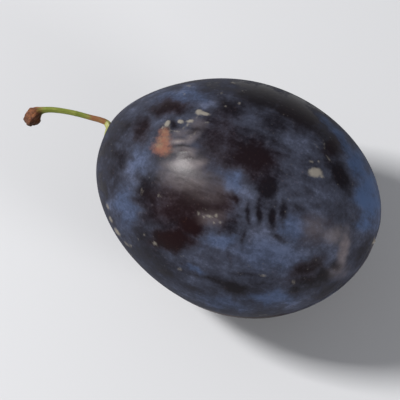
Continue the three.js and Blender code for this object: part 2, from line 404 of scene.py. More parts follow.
# Bluest bloom
BLUE_BLOOM = (
    (176.8, 119, 5.2, 11, -6, 1.0),
    (172.4, 105.5, 3.6, 7, -30, 1.0),
    (166.4, 96, 2.1, 6, -39, 0.95),
    (159.4, 88.2, 1.5, 6, -52, 0.8),
    (176, 129, 3.4, 4.4, 20, 0.85),
    (80, 123, 4.2, 9, -6, 0.5),
    (104, 78.8, 11, 3, -8, 0.5),
    (146, 131, 5, 6, 0, 0.5),
    (137, 142, 13, 6, 4, 0.35),
    (118, 136.4, 7.4, 2.8, -4, 0.5),
    (122, 112, 5, 3.6, 35, 0.55),
    (138, 159, 10, 2.8, 0, 0.6),
    (119, 161, 10, 2.4, 12, 0.4),
    (107.2, 148, 4, 1.2, 25, 0.65),
    (85.6, 104, 4, 6.4, 4, 0.3),
)
# Red-brown skin
MAROON = (
    (130, 104, 10, 7.4, 15, 0.5),
    (103, 121, 14, 9, -5, 0.85),
    (98.5, 135.4, 7.8, 4.4, 3, 1.0),
    (105.5, 129.6, 7, 4.6, 0, 1.0),
    (115.5, 122, 8, 8, 0, 0.75),
    (118, 98, 8, 12, 0, 0.4),
    (98, 82.7, 7, 3.4, -18, 0.5),
    (86.3, 92, 4, 4.4, 0, 0.4),
    (149, 85, 9, 4.6, 35, 0.2),
    (163, 98.6, 4, 4, 30, 0.3),
    (151, 148, 9, 4, -24, 0.4),
    (156, 132, 6, 6, 0, 0.5),
)
# Thin bloom with a warm pale cast, and painted light: a painted highlight round the window light's
# own highlight, and a painted sheen at the lower right
WARM_FILM_AND_SHEEN = (
    # These eleven rows: pale scuffed skin, brightened as a painted highlight round the window
    # light's highlight
    (102.6, 106.2, 7.0, 3.6, -6, 1.0),
    (104, 102, 3.4, 2.2, -15, 0.9),
    (107.8, 105.2, 3.8, 1.7, -10, 0.85),
    (100.7, 96.6, 3.8, 1.1, -6, 1.0),
    (103.2, 100, 4.6, 1.3, 0, 0.85),
    (106, 94.8, 3.8, 1.8, -40, 0.8),
    (101.6, 93.4, 4.2, 1.4, -15, 0.6),
    (108.6, 90, 3.0, 2.4, 0, 0.45),
    (99.4, 110.4, 6, 3.6, 0, 0.7),
    (105, 111.5, 7.5, 4.0, 0, 0.75),
    (113, 116, 8, 5, 0, 0.3),
    # These four rows: a painted sheen at the lower right, over a warm brownish tint
    (166.9, 140.4, 2.0, 8, 8, 0.85),
    (163.6, 134, 5, 3.4, 0, 0.55),
    (155.4, 131.6, 5, 5, 0, 0.3),
    (164.4, 148.6, 4, 2.4, -20, 0.45),
    # A warm tint round the pale specks
    (114, 127, 5, 3, 0, 0.4),
)
# Orange scar
SCAR = (
    (95.4, 93.2, 2.0, 2.4, 4, 0.95),
    (94.9, 96.4, 2.7, 2.6, 8, 1.0),
    (94.2, 99.4, 3.6, 2.7, 4, 1.0),
    (95.4, 101.6, 2.4, 1.4, 0, 0.55),
    (91.2, 99.6, 1.8, 1.3, 0, 0.5),
    (98.0, 99.2, 1.4, 0.9, 0, 0.5),
)
# Cream scabs and scratches, and a painted rim reflection along the lower-left edge
CORK_AND_RIM_GLINT = (
    (109.4, 84.9, 1.4, 1.1, 0, 1.0),
    (111.4, 85.5, 2.0, 0.7, 10, 1.0),
    (108.5, 87.2, 0.35, 1.4, 25, 0.5),
    (112.4, 89, 1.0, 0.5, -8, 0.4),
    (105.7, 88.5, 1.5, 0.65, -10, 1.0),
    (103.9, 90.6, 2.2, 0.4, -42, 0.55),
    (101.9, 88.7, 1.15, 0.8, 0, 1.0),
    (96.6, 89.4, 1.5, 0.9, -50, 0.95),
    (94.9, 90.9, 1.0, 0.5, -35, 0.6),
    (97.6, 91.6, 0.3, 1.2, 0, 0.45),
    (100.2, 92.5, 2.0, 0.35, 5, 0.45),
    (101.2, 96.4, 2.6, 0.45, -6, 0.42),
    (103.6, 100.6, 2.6, 0.35, -4, 0.35),
    (106.4, 94.2, 2.2, 0.5, -45, 0.4),
    (105.2, 103.6, 2.8, 0.35, -12, 0.35),
    (155.6, 109, 2.8, 1.9, 6, 0.95),
    (158.3, 110.7, 0.9, 0.6, 20, 0.7),
    (154, 104.8, 1.0, 0.6, 0, 0.55),
    (157, 104.5, 0.7, 0.5, 0, 0.5),
    (108.6, 125, 0.55, 1.2, 0, 0.6),
    (110.6, 126.8, 0.6, 0.5, 0, 0.6),
    (113.3, 126.5, 1.3, 0.65, 5, 0.7),
    (115.9, 126.2, 1.1, 0.65, -20, 0.7),
    (114.6, 129, 0.6, 0.5, 0, 0.6),
    (117.2, 128.8, 0.5, 0.6, 0, 0.6),
    (111.8, 123.9, 0.5, 0.4, 0, 0.45),
    (86.4, 116.8, 0.6, 2.2, 0, 0.3),
    (93, 118.2, 1.0, 0.7, 0, 0.4),
    (91.5, 137.4, 1.1, 0.7, 30, 0.6),
    (87.5, 133.8, 0.8, 0.6, 0, 0.45),
    (82, 138.3, 0.6, 0.8, 0, 0.5),
    (85, 135.6, 0.5, 0.5, 0, 0.4),
    (101.5, 147.6, 0.8, 0.9, 0, 0.5),
    (102.4, 142.4, 0.7, 0.5, 0, 0.45),
    # A pale line along the lower-left rim: partly flakes, partly a painted rim reflection
    (73.0, 122.6, 0.45, 1.3, -24, 0.65),
    (74.3, 127.8, 0.5, 1.5, -26, 0.75),
    (76.9, 132.8, 0.6, 1.9, -36, 0.85),
    (80.4, 137.4, 0.4, 1.2, -40, 0.6),
    (134.7, 150.3, 1.3, 0.6, 0, 0.5),
    (146.8, 152.8, 0.8, 1.1, 0, 0.5),
    (129.4, 146.6, 0.5, 0.5, 0, 0.35),
    (123.2, 73.2, 0.7, 0.5, 0, 0.55),
    (118.3, 77.3, 0.6, 0.6, 0, 0.45),
    (105.3, 74.4, 1.0, 0.5, 0, 0.45),
    (103.4, 77.6, 0.5, 0.7, 0, 0.45),
    (125.3, 81.3, 0.8, 0.5, 0, 0.6),
    (120, 82.6, 0.5, 0.5, 0, 0.45),
    (159.3, 98.2, 0.35, 2.8, -6, 0.42),
    (160.9, 103.4, 0.35, 2.2, -38, 0.42),
    (156.2, 98.4, 0.3, 2.4, -42, 0.3),
)

# Marks on the sides that the photograph doesn't show, strewn at random with a fixed seed:
# how many, and their smallest and largest half-width as shares of the fruit's radius
HIDDEN_SEED = 17
HIDDEN_BARE = (70, 0.05, 0.22)
HIDDEN_FULL = (26, 0.12, 0.4)
HIDDEN_BLUE = (13, 0.15, 0.4)
HIDDEN_MAROON = (17, 0.1, 0.3)
HIDDEN_WARM = (8, 0.15, 0.3)
HIDDEN_CORK = (34, 0.008, 0.026)
HIDDEN_STRENGTH = {"blue": 0.6, "film_and_sheen": 0.7, "cork_and_glint": 0.8}
PATCH_STRENGTH = (0.5, 1.0)
PATCH_STRETCH = (1.0, 2.4)  # length over width
PATCH_LEAN = 0.35  # how far the patches turn away from the fruit's axis
PATCH_SOFTNESS = 0.5
BEHIND = 9.0  # a distance that lies past the edge of every patch
RIPPLE = {"size": 0.03, "waves": 17.0, "phase": 1.0}  # bends the outlines of the patches

# Waves that bend the outlines of the photographed marks: height in pixels, radians for each
# pixel across and down, phase
WAVES_ACROSS = ((0.9, 0.21, 0.55, 0.4), (0.5, -0.5, 1.3, 0.0))
WAVES_DOWN = ((0.7, 0.6, -0.18, 2.0), (0.4, 1.4, 0.6, 0.0))

# Where the photographed marks come in: the cosine between the skin's outward direction and
# the direction to the camera
SIGHT = {"none": 0.02, "full": 0.2}

# Bloom where there is no mark, what full bloom adds, what rubbing takes off, and how much of
# the rubbing full bloom holds off
BLOOM = {"plain": 0.55, "full": 0.4, "rubbed": 0.85, "held": 0.35}
RUBBED_WARMTH = 0.8  # how much of the warm cast goes where the skin is rubbed

# Corky skin round the stem's foot and on the scar of the style
COLLAR = {"radius": 1.1, "reach": 0.5, "strength": 0.5}
STYLE_SCAR = {"reach": 0.9, "strength": 0.8}
SCAB_HEIGHT = 0.1
SCAR_DEPTH = 0.1


def waves(first, second, table):
    """A sum of sines of two values. A row of the table is a height, the radians for one unit
    of each value, and a phase."""
    return sum(
        height * np.sin(per_first * first + per_second * second + phase)
        for height, per_first, per_second, phase in table
    )


def strewn(directions, random, count, smallest, largest):
    """Strength of random oval patches on the unit directions of the surface's points. Each
    patch has its own centre, size, turn and strength; along the fruit they are longer."""
    total = np.zeros(len(directions))
    for _ in range(count):
        centre = random.normal(size=3)
        centre /= np.linalg.norm(centre)
        side = np.cross(centre, TO_BLOSSOM + PATCH_LEAN * random.normal(size=3))
        side /= np.linalg.norm(side)
        lengthwise = np.cross(side, centre)
        half_width = random.uniform(smallest, largest)
        strength = random.uniform(*PATCH_STRENGTH)
        half_length = half_width * random.uniform(*PATCH_STRETCH)
        distance = np.hypot(
            directions @ lengthwise / half_length, directions @ side / half_width
        )
        distance = np.where(directions @ centre > 0, distance, BEHIND)
        total = np.maximum(total, soft_oval(distance, strength, PATCH_SOFTNESS))
    return total


def skin_marks(points, outward, radius):
    """The looks of each point of the skin as shares from 0 to 1. On the photographed side they
    come from the marks above, and they pass over into the strewn ones on the hidden sides."""
    shown = smoothstep(outward @ BACK, SIGHT["none"], SIGHT["full"])
    hidden = 1.0 - shown
    across, down = photo_pixels(points)
    shift_across = waves(across, down, WAVES_ACROSS)
    shift_down = waves(across, down, WAVES_DOWN)
    random = np.random.default_rng(HIDDEN_SEED)
    directions = points - points.mean(0)
    directions /= np.array([HALF_LENGTH, HALF_WIDTH, HALF_THICKNESS])
    ripple = np.sin(directions[:, [1, 2, 0]] * RIPPLE["waves"] + RIPPLE["phase"])
    directions += RIPPLE["size"] * ripple
    directions /= np.linalg.norm(directions, axis=1)[:, None]

    def drawn(marks, softness, bend):
        """Strength of a set of marks, their outlines bent by a share of the waves."""
        return patches(across + bend * shift_across, down + bend * shift_down, marks, softness)

    rubbed = drawn(BARE_SMALL, softness=0.75, bend=0.15)
    # Rubbed places, with painted shade along the rims
    bare_and_rim_shade = shown * np.maximum(drawn(BARE_BROAD_AND_RIM_SHADE, softness=0.8, bend=1.0), rubbed)
    bare_and_rim_shade += hidden * strewn(directions, random, *HIDDEN_BARE)
    crisp = drawn(CRISP_BLOOM, softness=0.45, bend=0.3)
    full = shown * np.maximum(drawn(FULL_BLOOM, softness=0.75, bend=1.0), crisp)
    full += hidden * strewn(directions, random, *HIDDEN_FULL)
    bloom = BLOOM["plain"] + BLOOM["full"] * full
    bloom -= BLOOM["rubbed"] * bare_and_rim_shade * (1.0 - BLOOM["held"] * full)

    blue = shown * drawn(BLUE_BLOOM, softness=0.6, bend=1.0)
    blue += hidden * HIDDEN_STRENGTH["blue"] * strewn(directions, random, *HIDDEN_BLUE)
    maroon = shown * drawn(MAROON, softness=0.6, bend=1.0)
    maroon += hidden * strewn(directions, random, *HIDDEN_MAROON)
    film_and_sheen = shown * drawn(WARM_FILM_AND_SHEEN, softness=0.7, bend=0.3) * (1.0 - RUBBED_WARMTH * rubbed)
    film_and_sheen += hidden * HIDDEN_STRENGTH["film_and_sheen"] * strewn(directions, random, *HIDDEN_WARM)
    scar = shown * drawn(SCAR, softness=0.85, bend=0.25)
    cork_and_glint = shown * drawn(CORK_AND_RIM_GLINT, softness=0.55, bend=0.0)
    cork_and_glint += hidden * HIDDEN_STRENGTH["cork_and_glint"] * strewn(directions, random, *HIDDEN_CORK)

    stem_end = np.where(outward[:, 0] < 0, 1.0, 0.0)
    collar = stem_end * bump(radius - COLLAR["radius"], COLLAR["reach"])
    cork_and_glint = np.maximum(cork_and_glint, COLLAR["strength"] * collar)
    style_scar = (1.0 - stem_end) * bump(radius, STYLE_SCAR["reach"])
    cork_and_glint = np.maximum(cork_and_glint, STYLE_SCAR["strength"] * style_scar)
    return {
        "bloom": bloom,
        "blue": blue,
        "maroon": maroon,
        "film_and_sheen": film_and_sheen,
        "scar": scar,
        "cork_and_glint": cork_and_glint,
    }


def make_skin():
    """The whole skin as one closed surface, flattened where it rests on the floor. Returns the
    piece and the point at the bottom of the stem cavity."""
    row, column = grid_parameters(SKIN_ROWS, SKIN_COLUMNS)
    along = math.pi * (row - END_CROWDING * np.sin(2.0 * math.pi * row))
    turn = 2.0 * math.pi * column
    around = turn - SIDE_CROWDING * np.sin(turn - MARKED_SIDE)
    points, outward, radius = skin_surface(along, around)
    low, high = (np.array(corner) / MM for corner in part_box("fruit"))
    middle = (low + high) / 2.0 - (points.min(0) + points.max(0)) / 2.0
    middle[2] = high[2] - points[:, 2].max()
    points = points + middle
    looks = skin_marks(points, outward, radius)
    raised = SCAB_HEIGHT * looks["cork_and_glint"] - SCAR_DEPTH * looks["scar"]
    points = points + outward * raised[:, None]
    points[:, 2] = np.maximum(points[:, 2], 0.0)
    piece = make_piece("plum_skin", points, SKIN_ROWS, SKIN_COLUMNS, looks)
    return piece, points[0]


# ---- the stem ----

# Route, measured from the floor of the cavity
STEM_ROUTE = np.array(
    [
        [1.9, 0.0, 0.0],
        [0.0, 0.0, 0.0],
        [-1.7, 0.2, -0.1],
        [-2.95, 1.85, -0.75],
        [-3.5, 3.85, -1.2],
        [-4.2, 4.72, -1.4],
        [-5.35, 4.82, -1.25],
        [-7.8, 4.45, -0.95],
        [-10.8, 3.95, -0.5],
        [-13.7, 3.3, -0.3],
        [-15.75, 2.65, -0.3],
        [-17.15, 1.9, -0.5],
        [-17.95, 1.0, -0.9],
        [-18.3, 0.25, -1.6],
        [-18.4, -0.25, -2.35],
    ]
)
# Share of the length, and radius; the last rows turn back into the hollow broken end
STEM_PROFILE = np.array(
    [
        [0.0, 0.6],
        [0.03, 0.74],
        [0.12, 0.74],
        [0.2, 0.63],
        [0.3, 0.6],
        [0.4, 0.57],
        [0.5, 0.522],
        [0.62, 0.51],
        [0.74, 0.528],
        [0.82, 0.57],
        [0.86, 0.702],
        [0.89, 1.02],
        [0.92, 1.38],
        [0.95, 1.56],
        [0.975, 1.56],
        [0.993, 1.41],
        [1.0, 1.17],
        [0.985, 0.78],
        [0.965, 0.36],
    ]
)
PROFILE_STRETCH = np.array([40.0, 1.0])  # spaces the knots of the profile's curve by length
STEM_ROWS = 300
STEM_COLUMNS = 64
TANGENT_STEP = 0.004  # share of the length to each side, for the direction of the route
STEM_SIDE = np.array([0.0, 0.7071, -0.7071])  # the rings of the stem start square to this
WOODY = {"none": 0.84, "full": 0.93}  # shares of the length
HOLLOW_ROWS = 0.93  # share of the rows where the hollow of the broken end starts

# Unevenness, as shares of the radius: height, waves round, waves along, phase
RIBS = ((0.05, 5.0, 3.0, math.pi / 2), (0.025, 9.0, -7.0, math.pi / 2))
LUMPS = ((0.13, 3.0, 9.0, 0.8), (0.09, 5.0, -14.0, 2.2))
GNARLS = {"height": 0.06, "round": 11.0, "along": 40.0, "beat": 90.0}
WRINKLES = {"height": 0.03, "along": 150.0, "sway": 2.0, "round": 2.0}
# Swollen rings of the bud scars: height, place and reach, the last two along the length
RINGS = ((0.2, 0.335, 0.016), (0.05, 0.6, 0.01))


def smooth_curve(knots, share):
    """A Catmull-Rom curve through the knots, spaced by the square root of their distances,
    read at shares of its knots from 0 to 1."""
    gaps = np.sqrt(np.linalg.norm(np.diff(knots, axis=0), axis=1))
    times = np.concatenate([[0.0], np.cumsum(gaps)])
    slopes = np.gradient(knots, times, axis=0)
    time = share * times[-1]
    index = np.clip(np.searchsorted(times, time, side="right") - 1, 0, len(gaps) - 1)
    gap = gaps[index]
    t = ((time - times[index]) / gap)[:, None]
    gap = gap[:, None]
    return (
        (2 * t**3 - 3 * t**2 + 1) * knots[index]
        + (t**3 - 2 * t**2 + t) * gap * slopes[index]
        + (-2 * t**3 + 3 * t**2) * knots[index + 1]
        + (t**3 - t**2) * gap * slopes[index + 1]
    )


def even_curve(knots, share):
    """The same curve read at even steps of its length, at shares of it from 0 to 1. Returns
    the points and the whole length."""
    fine = smooth_curve(knots, np.linspace(0.0, 1.0, 2000))
    length = np.concatenate([[0.0], np.cumsum(np.linalg.norm(np.diff(fine, axis=0), axis=1))])
    wanted = np.clip(share, 0.0, 1.0) * length[-1]
    points = np.stack([np.interp(wanted, length, fine[:, axis]) for axis in range(3)], 1)
    return points, length[-1]


def make_stem(foot):
    """A profile of radii carried along the route: a flared foot, a thin ribbed green shank and
    a lumpy woody end with a hollow break."""
    row, column = grid_parameters(STEM_ROWS, STEM_COLUMNS)
    profile = smooth_curve(STEM_PROFILE * PROFILE_STRETCH, row) / PROFILE_STRETCH
    share, radius = np.clip(profile[:, 0], 0.0, 1.0), np.maximum(profile[:, 1], 0.0)
    radius[[0, -1]] = 0.0
    turn = 2.0 * math.pi * column
    knots = STEM_ROUTE + foot
    centre, length = even_curve(knots, share)
    ahead_share = np.minimum(share + TANGENT_STEP, 1.0)
    ahead, _ = even_curve(knots, ahead_share)
    behind, _ = even_curve(knots, ahead_share - 2.0 * TANGENT_STEP)
    tangent = ahead - behind
    tangent /= np.linalg.norm(tangent, axis=1)[:, None]
    across = np.cross(tangent, STEM_SIDE)
    across /= np.linalg.norm(across, axis=1)[:, None]
    beside = np.cross(tangent, across)

    woody = smoothstep(share, WOODY["none"], WOODY["full"])
    ribs = waves(turn, share, RIBS)
    gnarls = GNARLS["height"] * np.sin(GNARLS["round"] * turn + GNARLS["along"] * share)
    lumps = waves(turn, share, LUMPS) + gnarls * np.sin(GNARLS["beat"] * share)
    rings = sum(height * bump(share - place, reach) for height, place, reach in RINGS)
    sway = WRINKLES["sway"] * np.sin(WRINKLES["round"] * turn)
    wrinkles = WRINKLES["height"] * woody * np.sin(WRINKLES["along"] * share + sway)
    radius = radius * (1.0 + (1.0 - woody) * ribs + woody * lumps + rings + wrinkles)
    points = centre + radius[:, None] * (
        np.cos(turn)[:, None] * across + np.sin(turn)[:, None] * beside
    )
    hollow_start = STEM_ROWS * HOLLOW_ROWS * STEM_COLUMNS
    inside = np.where(np.arange(len(row)) > hollow_start, 1.0, 0.0)
    grain = np.stack([radius * np.cos(turn), radius * np.sin(turn), share * length], 1)
    looks = {"share": share, "inside": inside, "grain": grain}
    return make_piece("plum_stem", points, STEM_ROWS, STEM_COLUMNS, looks)


# ---- materials ----


def srgb(red, green, blue):
    """A colour given as screen values from 0 to 255, as the linear values that shaders use."""
    values = [channel / 255.0 for channel in (red, green, blue)]
    linear = [v / 12.92 if v <= 0.04045 else ((v + 0.055) / 1.055) ** 2.4 for v in values]
    return (*linear, 1.0)


def add(tree, kind, inputs=None, **settings):
    """A node with its settings; each input is a value or the socket that feeds it."""
    node = tree.nodes.new(kind)
    for name, value in settings.items():
        setattr(node, name, value)
    for name, value in (inputs or {}).items():
        if isinstance(value, bpy.types.NodeSocket):
            tree.links.new(value, node.inputs[name])
        else:
            node.inputs[name].default_value = value
    return node


def calc(tree, operation, first, second):
    """One sum, product or other operation on two values."""
    return add(tree, "ShaderNodeMath", {0: first, 1: second}, operation=operation).outputs[0]


def swing(tree, value, size):
    """A value round one half, brought to swing round nought, times a size."""
    return calc(tree, "MULTIPLY", calc(tree, "SUBTRACT", value, 0.5), size)


def ramp(tree, value, low, high, start=0.0, end=1.0):
    """Carries a value between low and high over to one between start and end."""
    inputs = {"Value": value, "From Min": low, "From Max": high, "To Min": start, "To Max": end}
    node = add(tree, "ShaderNodeMapRange", inputs, interpolation_type="SMOOTHSTEP")
    return node.outputs["Result"]


def mix(tree, share, first, second):
    """Two colours mixed by a share."""
    return add(tree, "ShaderNodeMix", {0: share, 6: first, 7: second}, data_type="RGBA").outputs[2]


def share_of(tree, label):
    """A share stored on the piece's points."""
    return add(tree, "ShaderNodeAttribute", attribute_name=label).outputs["Fac"]


def use(tree, group, place, **values):
    """A node group put to use at a place, with its own values."""
    inputs = {name.replace("_", " "): value for name, value in values.items()}
    return add(tree, "ShaderNodeGroup", {"Place": place, **inputs}, node_tree=group).outputs


def new_group(name, inputs, outputs):
    """An empty node group with named sockets: a vector named Place, the inputs with their
    first values, and the outputs. Returns the tree and its two end nodes."""
    tree = bpy.data.node_groups.new(name, "ShaderNodeTree")
    tree.interface.new_socket("Place", in_out="INPUT", socket_type="NodeSocketVector")
    for label, value in inputs.items():
        form = "NodeSocketVector" if isinstance(value, tuple) else "NodeSocketFloat"
        socket = tree.interface.new_socket(label, in_out="INPUT", socket_type=form)
        socket.default_value = value
    for label in outputs:
        tree.interface.new_socket(label, in_out="OUTPUT", socket_type="NodeSocketFloat")
    return tree, tree.nodes.new("NodeGroupInput"), tree.nodes.new("NodeGroupOutput")


def make_mottle():
    """Broad clouds, fine grain and lengthwise streaks, each a value round one half."""
    tree, source, result = new_group(
        "mottle",
        {
            "Cloud Scale": 300.0,
            "Grain Scale": 1500.0,
            "Streak Scale": 420.0,
            "Stretch": (0.2, 1.0, 1.0),
        },
        ("Clouds", "Grain", "Streaks"),
    )
    given = source.outputs
    stretched = add(
        tree,
        "ShaderNodeVectorMath",
        {0: given["Place"], 1: given["Stretch"]},
        operation="MULTIPLY",
    ).outputs[0]
    noises = {
        "Clouds": {
            "Vector": given["Place"],
            "Scale": given["Cloud Scale"],
            "Detail": 6.0,
            "Roughness": 0.68,
        },
        "Grain": {
            "Vector": given["Place"],
            "Scale": given["Grain Scale"],
            "Detail": 3.0,
            "Roughness": 0.7,
        },
        "Streaks": {
            "Vector": stretched,
            "Scale": given["Streak Scale"],
            "Detail": 4.0,
            "Roughness": 0.6,
            "Distortion": 0.25,
        },
    }
    for label, inputs in noises.items():
        noise = add(tree, "ShaderNodeTexNoise", inputs)
        tree.links.new(noise.outputs["Fac"], result.inputs[label])
    return tree


def make_specks():
    """Small round dots, one in some of the cells of a Voronoi pattern, of uneven size."""
    tree, source, result = new_group(
        "specks", {"Scale": 800.0, "Size": 0.16, "Share": 0.5}, ("Mask",)
    )
    given = source.outputs
    cells = add(
        tree,
        "ShaderNodeTexVoronoi",
        {"Vector": given["Place"], "Scale": given["Scale"], "Randomness": 1.0},
        feature="F1",
    )
    parts = add(tree, "ShaderNodeSeparateColor", {0: cells.outputs["Color"]})
    uneven = ramp(tree, parts.outputs[0], 0.0, 1.0, start=0.4, end=1.2)
    size = calc(tree, "MULTIPLY", given["Size"], uneven)
    inner = calc(tree, "MULTIPLY", size, 0.5)
    dot = ramp(tree, cells.outputs["Distance"], inner, size, start=1.0, end=0.0)
    present = calc(tree, "LESS_THAN", parts.outputs[1], given["Share"])
    strength = ramp(tree, parts.outputs[2], 0.0, 1.0, start=0.35, end=1.0)
    mask = calc(tree, "MULTIPLY", calc(tree, "MULTIPLY", dot, present), strength)
    tree.links.new(mask, result.inputs["Mask"])
    return tree


MOTTLE = make_mottle()
SPECKS = make_specks()


def new_material(name):
    """A material with an empty Principled BSDF. Returns the material, its tree and the shader."""
    material = bpy.data.materials.new(name)
    material.use_nodes = True
    tree = material.node_tree
    return material, tree, tree.nodes["Principled BSDF"]


# Colours of the skin
BARE_VIOLET = srgb(22, 19, 24)
BARE_MAROON = srgb(28, 15, 17)
FILM_GREY = srgb(46, 47, 57)
FILM_MAROON = srgb(48, 36, 40)
BLOOM_GREY = srgb(66, 70, 85)
BLOOM_PALE = srgb(87, 93, 114)
BLOOM_BLUE = srgb(63, 80, 111)
# Warm pale grey of the thin film, also used for the painted highlight and sheen
FILM_AND_SHEEN_GREY = srgb(116, 106, 107)
SCAR_ORANGE = srgb(130, 86, 70)
SCAR_TAN = srgb(132, 104, 82)
# Cream of the scabs, also used for a painted rim reflection
CORK_AND_GLINT_CREAM = srgb(134, 128, 119)
SPECK_TAN = srgb(96, 92, 88)

# How strongly clouds, grain and streaks break up the bloom
CLOUDED = 1.2
GRAINY = 0.75
SMEARED = 0.9

# Bloom at which a layer starts to show and is full: thin film, thick wax, pale wax
THIN_LAYER = (-0.2, 0.55)
THICK_LAYER = (0.2, 1.15)
PALE_LAYER = (0.6, 1.3)

# The other parts of the skin: a range that is read and, where it has four values, the range
# that it is carried over to
WARM_IN_STREAKS = (0.3, 0.7, 0.3, 0.85)
DOTS_IN_BLOOM = (0.0, 0.8, 0.35, 0.2)
SCAR_EDGE = (0.05, 1.1)
SCAR_TAN_IN_CLOUDS = (0.4, 0.62)
SCAB_EDGE = (0.1, 0.95)
ROUGHNESS_IN_BLOOM = (0.0, 1.0, 0.27, 0.68)

DOTS = {"Scale": 900.0, "Size": 0.17, "Share": 0.45}
FLECKS = {"Scale": 360.0, "Size": 0.085, "Share": 0.4}
FLECK_STRENGTH = 0.75
SCAR_STRENGTH = 0.9
SCAB_STRENGTH = 0.9
SCAB_RAGGED = 0.7
SCAB_ROUGHNESS = 0.8
LEAST_DULL = 0.3  # rubbed skin keeps this share of the dullness of bloom
WARM_POLISH = 0.9  # how much of the dullness goes where the skin has a warm cast
SKIN_SPECULAR = 0.07
SKIN_BUMP = {"grain": 0.5, "clouds": 0.8, "strength": 0.3, "distance": 0.0001}


def skin_material():
    """Dark violet skin under a waxy grey-blue bloom that is clouded, smeared and rubbed off in
    places, with pale specks, an orange scar and small cream scabs, a painted highlight and
    sheen in warm pale grey, and a painted rim reflection in cream."""
    material, tree, shader = new_material("bloomed_skin")
    place = add(tree, "ShaderNodeTexCoord").outputs["Object"]
    mottle = use(tree, MOTTLE, place)
    clouds, grain, streaks = mottle["Clouds"], mottle["Grain"], mottle["Streaks"]
    bloom = share_of(tree, "bloom")
    for noise, size in ((clouds, CLOUDED), (grain, GRAINY), (streaks, SMEARED)):
        bloom = calc(tree, "ADD", bloom, swing(tree, noise, size))
    thin = ramp(tree, bloom, *THIN_LAYER)
    thick = ramp(tree, bloom, *THICK_LAYER)

    maroon = share_of(tree, "maroon")
    skin = mix(tree, maroon, BARE_VIOLET, BARE_MAROON)
    film = mix(tree, maroon, FILM_GREY, FILM_MAROON)
    wax = mix(tree, ramp(tree, bloom, *PALE_LAYER), BLOOM_GREY, BLOOM_PALE)
    wax = mix(tree, share_of(tree, "blue"), wax, BLOOM_BLUE)
    colour = mix(tree, thin, skin, film)
    colour = mix(tree, thick, colour, wax)
    # Warm pale film, which also paints the highlight and a sheen
    film_and_sheen = share_of(tree, "film_and_sheen")
    streaked_film_and_sheen = calc(tree, "MULTIPLY", film_and_sheen, ramp(tree, streaks, *WARM_IN_STREAKS))
    colour = mix(tree, streaked_film_and_sheen, colour, FILM_AND_SHEEN_GREY)

    dots = use(tree, SPECKS, place, **DOTS)["Mask"]
    dots = calc(tree, "MULTIPLY", dots, ramp(tree, thick, *DOTS_IN_BLOOM))
    colour = mix(tree, dots, colour, SPECK_TAN)
    flecks = calc(tree, "MULTIPLY", use(tree, SPECKS, place, **FLECKS)["Mask"], FLECK_STRENGTH)
    colour = mix(tree, flecks, colour, SPECK_TAN)

    scar = calc(tree, "ADD", share_of(tree, "scar"), swing(tree, grain, 1.0))
    scar = calc(tree, "MULTIPLY", ramp(tree, scar, *SCAR_EDGE), SCAR_STRENGTH)
    scar_tone = mix(tree, ramp(tree, clouds, *SCAR_TAN_IN_CLOUDS), SCAR_ORANGE, SCAR_TAN)
    colour = mix(tree, scar, colour, scar_tone)
    # Cream scabs, with a painted rim reflection on the lower-left edge
    scab_and_glint = calc(tree, "ADD", share_of(tree, "cork_and_glint"), swing(tree, grain, SCAB_RAGGED))
    scab_and_glint = ramp(tree, scab_and_glint, *SCAB_EDGE)
    colour = mix(tree, calc(tree, "MULTIPLY", scab_and_glint, SCAB_STRENGTH), colour, CORK_AND_GLINT_CREAM)
    tree.links.new(colour, shader.inputs["Base Color"])

    polished = calc(tree, "SUBTRACT", 1.0, calc(tree, "MULTIPLY", film_and_sheen, WARM_POLISH))
    dull = calc(tree, "MULTIPLY", calc(tree, "MAXIMUM", thin, LEAST_DULL), polished)
    dull = ramp(tree, dull, *ROUGHNESS_IN_BLOOM)
    dull = calc(tree, "MAXIMUM", dull, calc(tree, "MULTIPLY", scab_and_glint, SCAB_ROUGHNESS))
    tree.links.new(dull, shader.inputs["Roughness"])
    height = calc(tree, "MULTIPLY", grain, SKIN_BUMP["grain"])
    height = calc(tree, "ADD", height, calc(tree, "MULTIPLY", clouds, SKIN_BUMP["clouds"]))
    height = calc(tree, "ADD", height, scab_and_glint)
    pores = add(
        tree,
        "ShaderNodeBump",
        {"Height": height, "Strength": SKIN_BUMP["strength"], "Distance": SKIN_BUMP["distance"]},
    )
    tree.links.new(pores.outputs["Normal"], shader.inputs["Normal"])
    shader.inputs["Specular IOR Level"].default_value = SKIN_SPECULAR
    return material


# Colours of the stem
STEM_GREEN = srgb(110, 120, 40)
STEM_PALE = srgb(140, 144, 64)
STEM_BROWN = srgb(142, 92, 58)
STEM_FOOT = srgb(156, 156, 92)
WOOD_BROWN = srgb(98, 52, 28)
WOOD_TAN = srgb(146, 90, 52)
WOOD_DARK = srgb(30, 18, 13)

# Its mottle, and where its colours lie: shares of the length unless another value is named, a
# range that is read and, where it has four values, the range that it is carried over to
STEM_MOTTLE = {
    "Cloud_Scale": 700.0,
    "Grain_Scale": 5000.0,
    "Streak_Scale": 2600.0,
    "Stretch": (1.0, 1.0, 0.16),
}
PALE_IN_STREAKS = (0.35, 0.7)
BROWN_START = (0.35, 0.38)
BROWN_END = (0.47, 0.54, 1.0, 0.0)
BROWN_IN_CLOUDS = (0.3, 0.6, 0.6, 1.0)
BROWN_RAGGED = 0.1
FOOT_END = (0.34, 0.37, 0.8, 0.0)
TAN_IN_CLOUDS = (0.38, 0.6)
CRACKS_IN_GRAIN = (0.42, 0.62, 0.0, 0.7)
BREAK_SHADE = (0.94, 0.99, 0.0, 0.6)
WOOD_START = (0.83, 0.9)
WOOD_RAGGED = 0.08
HOLLOW_SHADE = 0.85
STEM_ROUGHNESS = (0.82, 0.9, 0.5, 0.85)
STEM_BUMP = {"grain": 0.5, "strength": 0.6, "distance": 0.0001}


